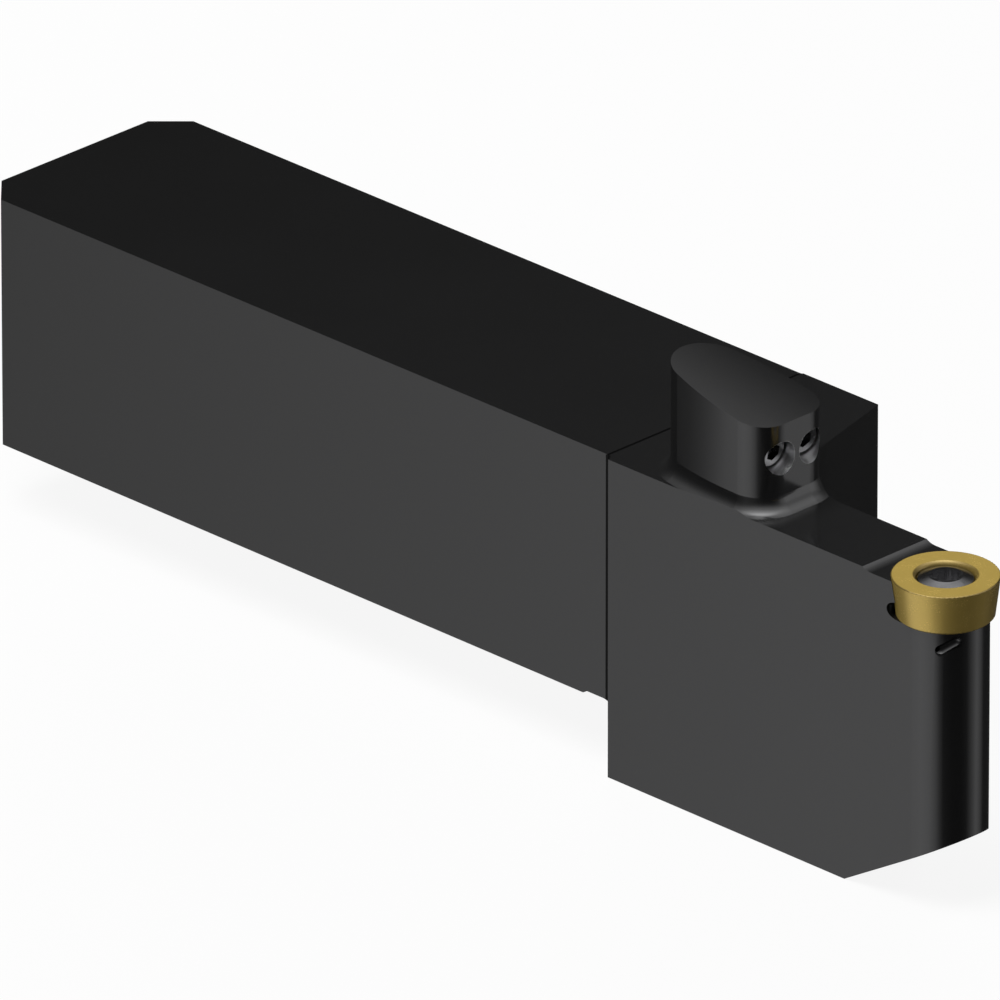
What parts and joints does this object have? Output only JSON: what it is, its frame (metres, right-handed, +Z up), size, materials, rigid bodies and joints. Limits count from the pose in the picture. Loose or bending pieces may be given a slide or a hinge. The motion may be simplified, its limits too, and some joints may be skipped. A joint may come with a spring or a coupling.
{
  "type": "turning tool holder",
  "caption": "Square-shank turning tool holder for a round screw-clamped insert, with a coolant boss and jets aimed at the cutting edge.",
  "frame": {"origin": "middle of the rear edge of the shank's seating face, the underside", "axes": "+X along the shank from its rear end to the cutting end, +Z up from the seating face to the rake face of the insert, -Y to the side that cuts"},
  "size_m": [0.127, 0.0267, 0.0431],
  "materials": {
    "blackened_steel": "satin black oxide",
    "gold_carbide": "satin gold-coloured coating on sintered carbide",
    "screw_steel": "satin",
    "jet_steel": "satin",
    "plug_steel": "satin black oxide"
  },
  "bodies": {
    "holder": {"holder_body": "blackened_steel", "near_jet": "jet_steel", "far_jet": "jet_steel", "inlet_plug": "plug_steel"},
    "insert": {"insert": "gold_carbide"},
    "insert_screw": {"insert_screw": "screw_steel"}
  },
  "joints": [
    {"name": "insert_turn", "type": "hinge", "parent": "holder", "child": "insert", "pos_m": [0.122, -0.00925, 0.0231], "axis": [0, 0, 1], "continuous": true},
    {"name": "screw_turn", "type": "hinge", "parent": "holder", "child": "insert_screw", "pos_m": [0.122, -0.00925, 0.0231], "axis": [0, 0, 1], "range_deg": [0, 360]}
  ]
}
